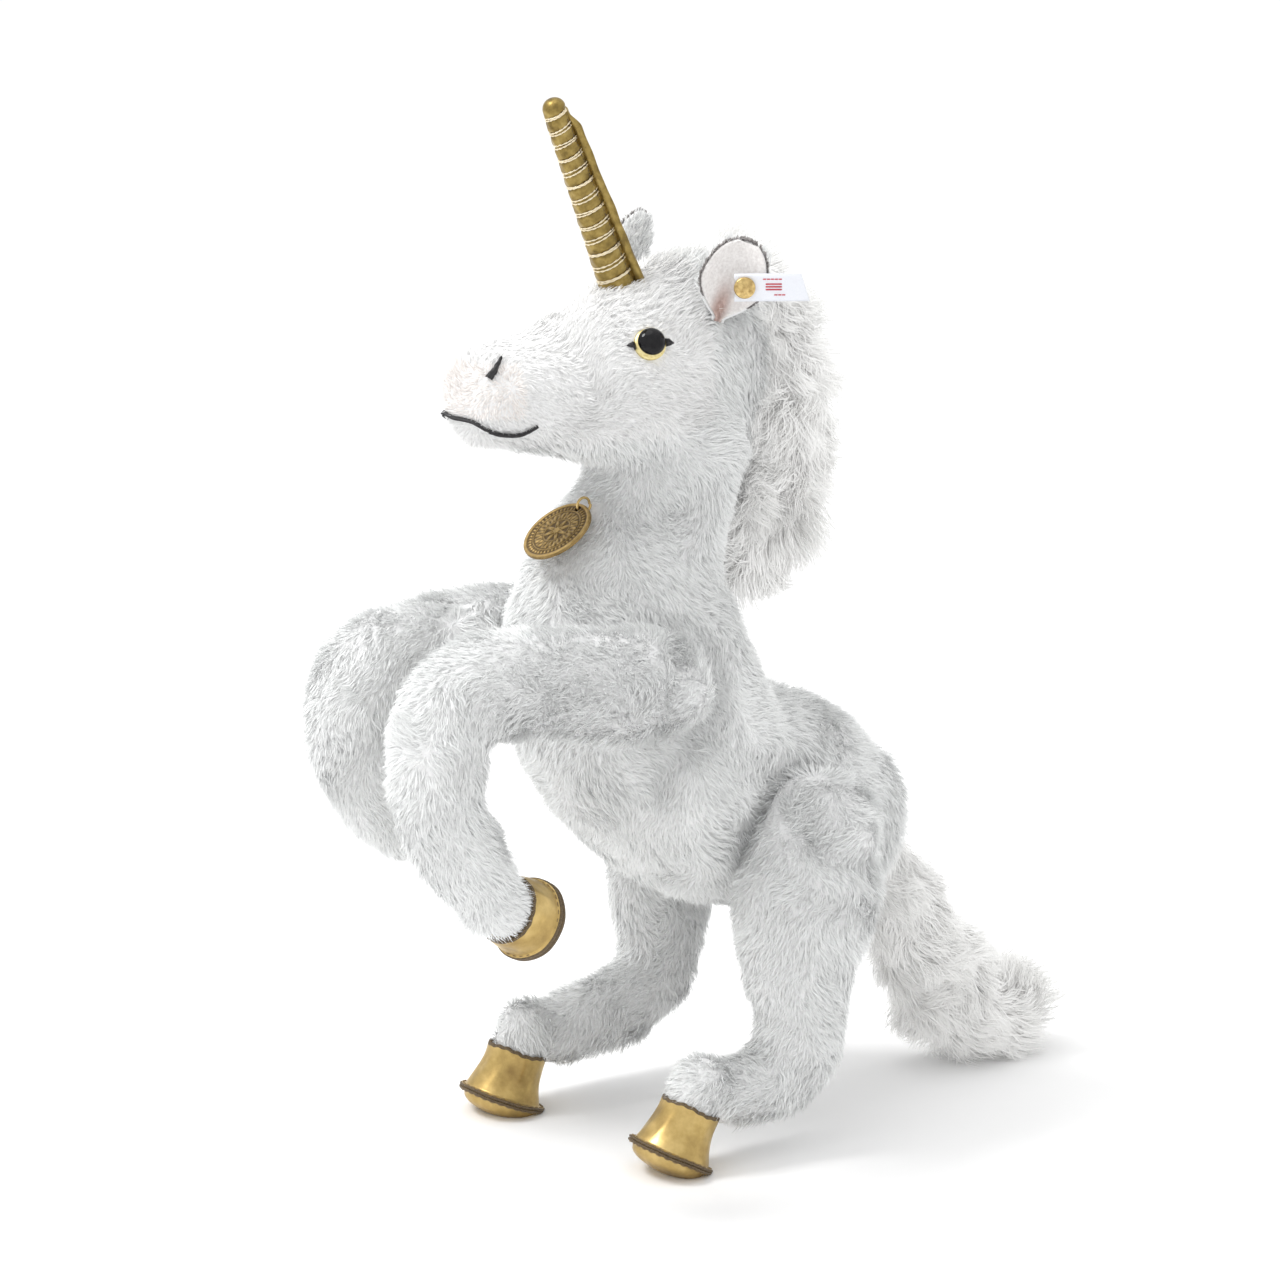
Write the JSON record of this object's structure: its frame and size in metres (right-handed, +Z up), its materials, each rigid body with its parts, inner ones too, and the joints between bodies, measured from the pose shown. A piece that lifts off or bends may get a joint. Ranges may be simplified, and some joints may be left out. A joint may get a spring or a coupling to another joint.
{
  "type": "plush unicorn",
  "caption": "Rearing plush unicorn of white fur with a thread-wound horn, gold hooves, a chest medal and four legs that turn on disc joints.",
  "frame": {"origin": "middle of the bottom of the whole, on the floor that the two hind hooves and the tail rest on", "axes": "+Z up; the unicorn faces -Y; +X is its own left side, where the ear with the button and label is"},
  "size_m": [0.125, 0.2914, 0.3495],
  "materials": {
    "fur": "white pile fabric",
    "stuffing": "loose filling",
    "gold_leather": "metallic foil leather, satin",
    "gold_thread": "metallic thread",
    "brass": "aged, engraved",
    "steel": "plain",
    "board": "pressed hardboard",
    "eye_glass": "black glass, polished",
    "eye_gold": "satin gold",
    "felt": "short grey-white felt",
    "ribbon": "woven ribbon, blank"
  },
  "bodies": {
    "torso": {"body_cover_left": "fur", "body_cover_right": "fur", "body_stuffing": "stuffing", "horn_cover": "gold_leather", "horn_stuffing": "stuffing", "horn_thread": "gold_thread", "left_eye_glass": "eye_glass", "left_eye_disc": "eye_gold", "left_eye_shank": "steel", "left_ear_back": "fur", "left_ear_lining": "felt", "right_eye_glass": "eye_glass", "right_eye_disc": "eye_gold", "right_eye_shank": "steel", "right_ear_back": "fur", "right_ear_lining": "felt", "ear_button": "brass", "ear_label": "ribbon", "mane": "fur", "tail": "fur", "medal_ring": "brass", "front_left_body_disc": "board", "front_left_body_washer": "steel", "front_left_cotter_pin": "steel", "front_right_body_disc": "board", "front_right_body_washer": "steel", "front_right_cotter_pin": "steel", "hind_left_body_disc": "board", "hind_left_body_washer": "steel", "hind_left_cotter_pin": "steel", "hind_right_body_disc": "board", "hind_right_body_washer": "steel", "hind_right_cotter_pin": "steel"},
    "front_left_leg": {"front_left_leg_cover": "fur", "front_left_leg_stuffing": "stuffing", "front_left_hoof_wall": "gold_leather", "front_left_hoof_sole": "gold_leather", "front_left_limb_disc": "board", "front_left_limb_washer": "steel"},
    "front_right_leg": {"front_right_leg_cover": "fur", "front_right_leg_stuffing": "stuffing", "front_right_hoof_wall": "gold_leather", "front_right_hoof_sole": "gold_leather", "front_right_limb_disc": "board", "front_right_limb_washer": "steel"},
    "hind_left_leg": {"hind_left_leg_cover": "fur", "hind_left_leg_stuffing": "stuffing", "hind_left_hoof_wall": "gold_leather", "hind_left_hoof_sole": "gold_leather", "hind_left_limb_disc": "board", "hind_left_limb_washer": "steel"},
    "hind_right_leg": {"hind_right_leg_cover": "fur", "hind_right_leg_stuffing": "stuffing", "hind_right_hoof_wall": "gold_leather", "hind_right_hoof_sole": "gold_leather", "hind_right_limb_disc": "board", "hind_right_limb_washer": "steel"},
    "medal": {"medal": "brass"}
  },
  "joints": [
    {"name": "front_left_hinge", "type": "hinge", "parent": "torso", "child": "front_left_leg", "pos_m": [0.0307, -0.04038, 0.163], "axis": [1, 0, 0], "range_deg": [-60, 40]},
    {"name": "front_right_hinge", "type": "hinge", "parent": "torso", "child": "front_right_leg", "pos_m": [-0.0307, -0.04038, 0.163], "axis": [1, 0, 0], "range_deg": [-60, 25]},
    {"name": "hind_left_hinge", "type": "hinge", "parent": "torso", "child": "hind_left_leg", "pos_m": [0.0307, 0.02562, 0.106], "axis": [1, 0, 0], "range_deg": [-20, 60]},
    {"name": "hind_right_hinge", "type": "hinge", "parent": "torso", "child": "hind_right_leg", "pos_m": [-0.0307, 0.02562, 0.106], "axis": [1, 0, 0], "range_deg": [-20, 60]},
    {"name": "medal_swing", "type": "hinge", "parent": "torso", "child": "medal", "pos_m": [0.006, -0.04887, 0.21755], "axis": [-1, 0, 0], "range_deg": [0, 60]}
  ]
}
